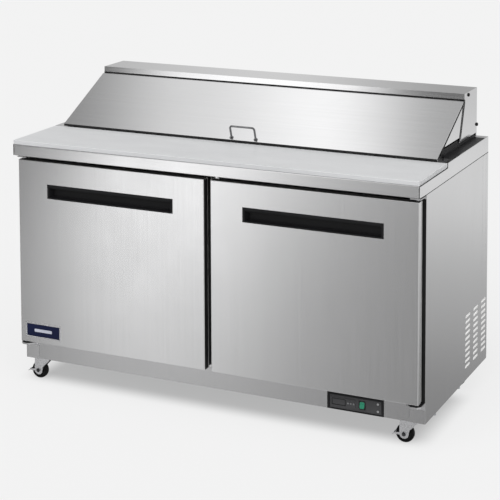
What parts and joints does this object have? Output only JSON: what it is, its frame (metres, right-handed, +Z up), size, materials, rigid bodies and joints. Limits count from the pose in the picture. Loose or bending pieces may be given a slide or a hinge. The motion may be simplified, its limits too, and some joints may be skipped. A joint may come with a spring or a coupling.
{
  "type": "sandwich prep table",
  "caption": "Refrigerated stainless sandwich prep table on casters, with hinged doors, a hooded pan well under a lifting lid, and a full-width cutting board along the front.",
  "frame": {"origin": "on the floor, under the middle of the worktop in width and in depth", "axes": "+Z up, the doors and cutting board face -Y, +X to the right as seen from the front, where the condensing unit is"},
  "size_m": [1.587, 0.7674, 1.1113],
  "materials": {
    "stainless": "brushed stainless sheet, vertical grain",
    "stainless_door": "brushed stainless door skin, vertical grain",
    "stainless_top": "brushed stainless worktop, lengthwise grain",
    "stainless_hood": "brushed stainless, lengthwise grain",
    "pan_steel": "satin drawn stainless",
    "galvanised": "galvanised sheet with faint spangle",
    "hinge_steel": "plain satin steel",
    "chrome_wire": "polished plated wire",
    "zinc": "bright zinc-plated pressed steel",
    "aluminium_liner": "satin embossed aluminium sheet",
    "liner_white": "thermoformed white liner",
    "foam": "open-cut polyurethane foam",
    "black_plastic": "black moulded ABS",
    "white_plastic": "white moulded cover",
    "handle_black": "fine-textured black moulding",
    "gasket_black": "soft black vinyl",
    "black_rubber": "black rubber",
    "wheel_black": "black polyurethane tread",
    "board_white": "lightly cut white polyethylene",
    "coated_wire": "white epoxy-coated wire",
    "coil_aluminium": "bare fin stock",
    "motor_black": "black enamel",
    "compressor_black": "gloss black enamel",
    "copper": "drawn copper tube, dulled",
    "panel_grey": "dark grey moulded face",
    "switch_green": "translucent green rocker",
    "button_grey": "moulded button",
    "fan_plastic": "moulded fan",
    "badge_blue": "navy enamel plate with a plain bright rim"
  },
  "bodies": {
    "cabinet": {"right_side_panel": "stainless", "left_side_panel": "stainless", "rear_covers": "galvanised", "base_pan": "galvanised", "face_frame": "stainless", "kick_panel": "stainless", "foam_insulation": "foam", "liner": "aluminium_liner", "deck_top": "stainless_top", "pan_frame": "stainless_top", "food_pans": "pan_steel", "pan_collar": "black_plastic", "hood_shell": "stainless_hood", "hood_bumpers": "black_rubber", "lid_hinge_fixed": "hinge_steel", "hinge_brackets": "hinge_steel", "wire_shelves": "coated_wire", "evaporator_housing": "white_plastic", "evaporator_coil": "coil_aluminium", "fan_motors": "motor_black", "compressor": "compressor_black", "condenser_coil": "coil_aluminium", "refrigerant_lines": "copper", "power_cord": "black_rubber", "control_bezel": "black_plastic", "control_face": "panel_grey", "caster_plates": "zinc"},
    "left_door": {"left_door_skin": "stainless_door", "left_door_liner": "liner_white", "left_door_foam": "foam", "left_door_gasket": "gasket_black", "left_door_handle": "handle_black", "door_badge": "badge_blue"},
    "right_door": {"right_door_skin": "stainless_door", "right_door_liner": "liner_white", "right_door_foam": "foam", "right_door_gasket": "gasket_black", "right_door_handle": "handle_black"},
    "lid": {"lid_panel": "stainless_hood", "lid_liner": "black_plastic", "lid_foam": "foam", "lid_handle": "chrome_wire", "lid_hinge_moving": "hinge_steel"},
    "cutting_board": {"cutting_board": "board_white"},
    "front_left_swivel": {"caster_front_left_fork": "zinc"},
    "front_left_wheel": {"caster_front_left_wheel": "wheel_black"},
    "front_left_brake": {"caster_front_left_brake": "zinc"},
    "front_right_swivel": {"caster_front_right_fork": "zinc"},
    "front_right_wheel": {"caster_front_right_wheel": "wheel_black"},
    "front_right_brake": {"caster_front_right_brake": "zinc"},
    "rear_left_swivel": {"caster_rear_left_fork": "zinc"},
    "rear_left_wheel": {"caster_rear_left_wheel": "wheel_black"},
    "rear_right_swivel": {"caster_rear_right_fork": "zinc"},
    "rear_right_wheel": {"caster_rear_right_wheel": "wheel_black"},
    "power_switch": {"power_switch": "switch_green"},
    "set_button": {"set_button": "button_grey"},
    "down_button": {"down_button": "button_grey"},
    "up_button": {"up_button": "button_grey"},
    "evaporator_fan": {"evaporator_fan": "fan_plastic"},
    "condenser_fan": {"condenser_fan": "coil_aluminium"}
  },
  "joints": [
    {"name": "left_door_swing", "type": "hinge", "parent": "cabinet", "child": "left_door", "pos_m": [-0.757, -0.34625, 0.514], "axis": [0, 0, -1], "range_deg": [0, 115]},
    {"name": "right_door_swing", "type": "hinge", "parent": "cabinet", "child": "right_door", "pos_m": [0.757, -0.34625, 0.514], "axis": [0, 0, 1], "range_deg": [0, 115]},
    {"name": "lid_lift", "type": "hinge", "parent": "cabinet", "child": "lid", "pos_m": [0, 0.20375, 1.0825], "axis": [-1, 0, 0], "range_deg": [0, 118]},
    {"name": "cutting_board_lift", "type": "slide", "parent": "cabinet", "child": "cutting_board", "axis": [0, -0.6, 0.8], "range_m": [0, 0.35]},
    {"name": "front_left_caster_swivel", "type": "hinge", "parent": "cabinet", "child": "front_left_swivel", "pos_m": [-0.723, -0.25425, 0.088], "axis": [0, 0, 1], "continuous": true},
    {"name": "front_left_wheel_spin", "type": "hinge", "parent": "front_left_swivel", "child": "front_left_wheel", "pos_m": [-0.758, -0.25425, 0.032], "axis": [0, 1, 0], "continuous": true},
    {"name": "front_left_brake_press", "type": "hinge", "parent": "front_left_swivel", "child": "front_left_brake", "pos_m": [-0.758, -0.25425, 0.032], "axis": [0, -1, 0], "range_deg": [0, 14]},
    {"name": "front_right_caster_swivel", "type": "hinge", "parent": "cabinet", "child": "front_right_swivel", "pos_m": [0.723, -0.25425, 0.088], "axis": [0, 0, 1], "continuous": true},
    {"name": "front_right_wheel_spin", "type": "hinge", "parent": "front_right_swivel", "child": "front_right_wheel", "pos_m": [0.688, -0.25425, 0.032], "axis": [0, 1, 0], "continuous": true},
    {"name": "front_right_brake_press", "type": "hinge", "parent": "front_right_swivel", "child": "front_right_brake", "pos_m": [0.688, -0.25425, 0.032], "axis": [0, -1, 0], "range_deg": [0, 14]},
    {"name": "rear_left_caster_swivel", "type": "hinge", "parent": "cabinet", "child": "rear_left_swivel", "pos_m": [-0.723, 0.31575, 0.088], "axis": [0, 0, 1], "continuous": true},
    {"name": "rear_left_wheel_spin", "type": "hinge", "parent": "rear_left_swivel", "child": "rear_left_wheel", "pos_m": [-0.758, 0.31575, 0.032], "axis": [0, 1, 0], "continuous": true},
    {"name": "rear_right_caster_swivel", "type": "hinge", "parent": "cabinet", "child": "rear_right_swivel", "pos_m": [0.723, 0.31575, 0.088], "axis": [0, 0, 1], "continuous": true},
    {"name": "rear_right_wheel_spin", "type": "hinge", "parent": "rear_right_swivel", "child": "rear_right_wheel", "pos_m": [0.688, 0.31575, 0.032], "axis": [0, 1, 0], "continuous": true},
    {"name": "power_switch_rock", "type": "hinge", "parent": "cabinet", "child": "power_switch", "pos_m": [0.555, -0.31125, 0.125], "axis": [1, 0, 0], "range_deg": [0, 16]},
    {"name": "set_button_press", "type": "slide", "parent": "cabinet", "child": "set_button", "axis": [0, 1, 0], "range_m": [0, 0.0009], "stiffness_N_per_m": 300, "springref_m": -0.0003},
    {"name": "down_button_press", "type": "slide", "parent": "cabinet", "child": "down_button", "axis": [0, 1, 0], "range_m": [0, 0.0009], "stiffness_N_per_m": 300, "springref_m": -0.0003},
    {"name": "up_button_press", "type": "slide", "parent": "cabinet", "child": "up_button", "axis": [0, 1, 0], "range_m": [0, 0.0009], "stiffness_N_per_m": 300, "springref_m": -0.0003},
    {"name": "evaporator_fan_spin", "type": "hinge", "parent": "cabinet", "child": "evaporator_fan", "pos_m": [0, 0.25375, 0.69], "axis": [0, 1, 0], "continuous": true},
    {"name": "condenser_fan_spin", "type": "hinge", "parent": "cabinet", "child": "condenser_fan", "pos_m": [0.574, 0.25375, 0.222], "axis": [1, 0, 0], "continuous": true}
  ]
}
